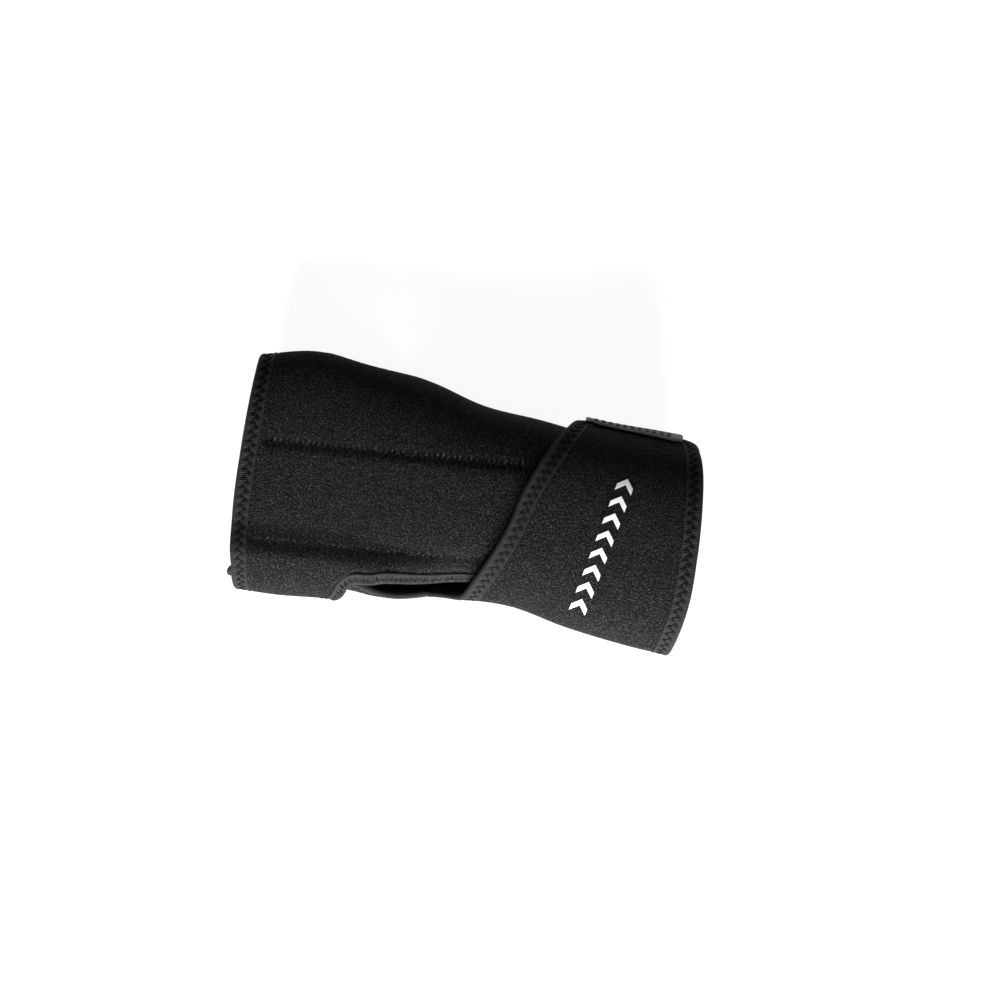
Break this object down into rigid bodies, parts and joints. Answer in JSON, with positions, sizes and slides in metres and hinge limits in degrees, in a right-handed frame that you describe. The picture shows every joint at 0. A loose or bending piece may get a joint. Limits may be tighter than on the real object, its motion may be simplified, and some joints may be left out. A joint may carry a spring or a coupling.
{
  "type": "wrist splint",
  "caption": "Wrap-around neoprene wrist splint with a thumb hole, a dorsal metal stay in a stitched pocket, a hand flap and a wide wrist strap closed by a hook tab.",
  "frame": {"origin": "centre of the bounding box's bottom, on the palmar side, where the splint lies on a table", "axes": "+X along the arm from the fingers to the elbow, +Y to the thumb side, +Z out of the back of the hand"},
  "size_m": [0.1908, 0.1041, 0.0714],
  "materials": {
    "neoprene": "matte loop-faced neoprene",
    "lining": "smooth knit",
    "binding": "ribbed woven tape",
    "thread": "polyester thread",
    "hook": "hook tape",
    "metal": "satin"
  },
  "bodies": {
    "root": {"neoprene_sleeve": "neoprene", "hand_edge_binding": "binding", "elbow_edge_binding": "binding", "dorsal_edge_binding": "binding", "palm_edge_binding": "binding", "thumb_hole_binding": "binding", "splint_pocket_lining": "lining", "pocket_seam_radial": "thread", "pocket_seam_ulnar": "thread"},
    "stay": {"metal_stay": "metal"},
    "hand_flap_side": {"hand_flap_side": "neoprene", "hand_flap_side_distal_binding": "binding", "hand_flap_side_proximal_binding": "binding"},
    "hand_flap_palm": {"hand_flap_palm": "neoprene", "hand_flap_palm_distal_binding": "binding", "hand_flap_palm_proximal_binding": "binding", "hand_flap_end_binding": "binding", "hand_flap_hook_pad": "hook"},
    "strap_ulnar": {"strap_ulnar": "neoprene", "strap_ulnar_distal_binding": "binding", "strap_ulnar_proximal_binding": "binding"},
    "strap_dorsal": {"strap_dorsal": "neoprene", "strap_dorsal_distal_binding": "binding", "strap_dorsal_proximal_binding": "binding"},
    "strap_radial": {"strap_radial": "neoprene", "strap_radial_distal_binding": "binding", "strap_radial_proximal_binding": "binding", "strap_end_binding": "binding", "hook_tab_root": "hook"},
    "strap_tab": {"hook_tab": "hook", "hook_tab_pad": "hook"}
  },
  "joints": [
    {"name": "hand_flap_open", "type": "hinge", "parent": "root", "child": "hand_flap_side", "pos_m": [-0.066, -0.04215, 0.0405], "axis": [-0.9919, -0.0517, -0.1157], "range_deg": [0, 60]},
    {"name": "hand_flap_palm_open", "type": "hinge", "parent": "hand_flap_side", "child": "hand_flap_palm", "pos_m": [-0.06775, -0.04315, 0.00625], "axis": [-0.9977, -0.0629, -0.0246], "range_deg": [0, 60]},
    {"name": "strap_open", "type": "hinge", "parent": "root", "child": "strap_ulnar", "pos_m": [0.044, -0.042, 0.0173], "axis": [0.9958, -0.0758, 0.0521], "range_deg": [0, 50]},
    {"name": "strap_dorsal_open", "type": "hinge", "parent": "strap_ulnar", "child": "strap_dorsal", "pos_m": [0.0505, -0.0371, 0.0571], "axis": [0.9886, -0.0847, 0.1248], "range_deg": [0, 50]},
    {"name": "strap_radial_open", "type": "hinge", "parent": "strap_dorsal", "child": "strap_radial", "pos_m": [0.0616, 0.0326, 0.0585], "axis": [0.9912, -0.0409, 0.126], "range_deg": [0, 90]},
    {"name": "tab_peel", "type": "hinge", "parent": "strap_radial", "child": "strap_tab", "pos_m": [0.06125, 0.04435, 0.03295], "axis": [0.9963, -0.0104, 0.0854], "range_deg": [0, 75]},
    {"name": "stay_slide", "type": "slide", "parent": "root", "child": "stay", "axis": [0.9876, 0.0716, 0.1396], "range_m": [0, 0.165]}
  ],
  "couplings": [
    {"joint": "hand_flap_palm_open", "follows": "hand_flap_open", "ratio": 1},
    {"joint": "strap_dorsal_open", "follows": "strap_open", "ratio": 1},
    {"joint": "strap_radial_open", "follows": "strap_open", "ratio": 1.8}
  ]
}
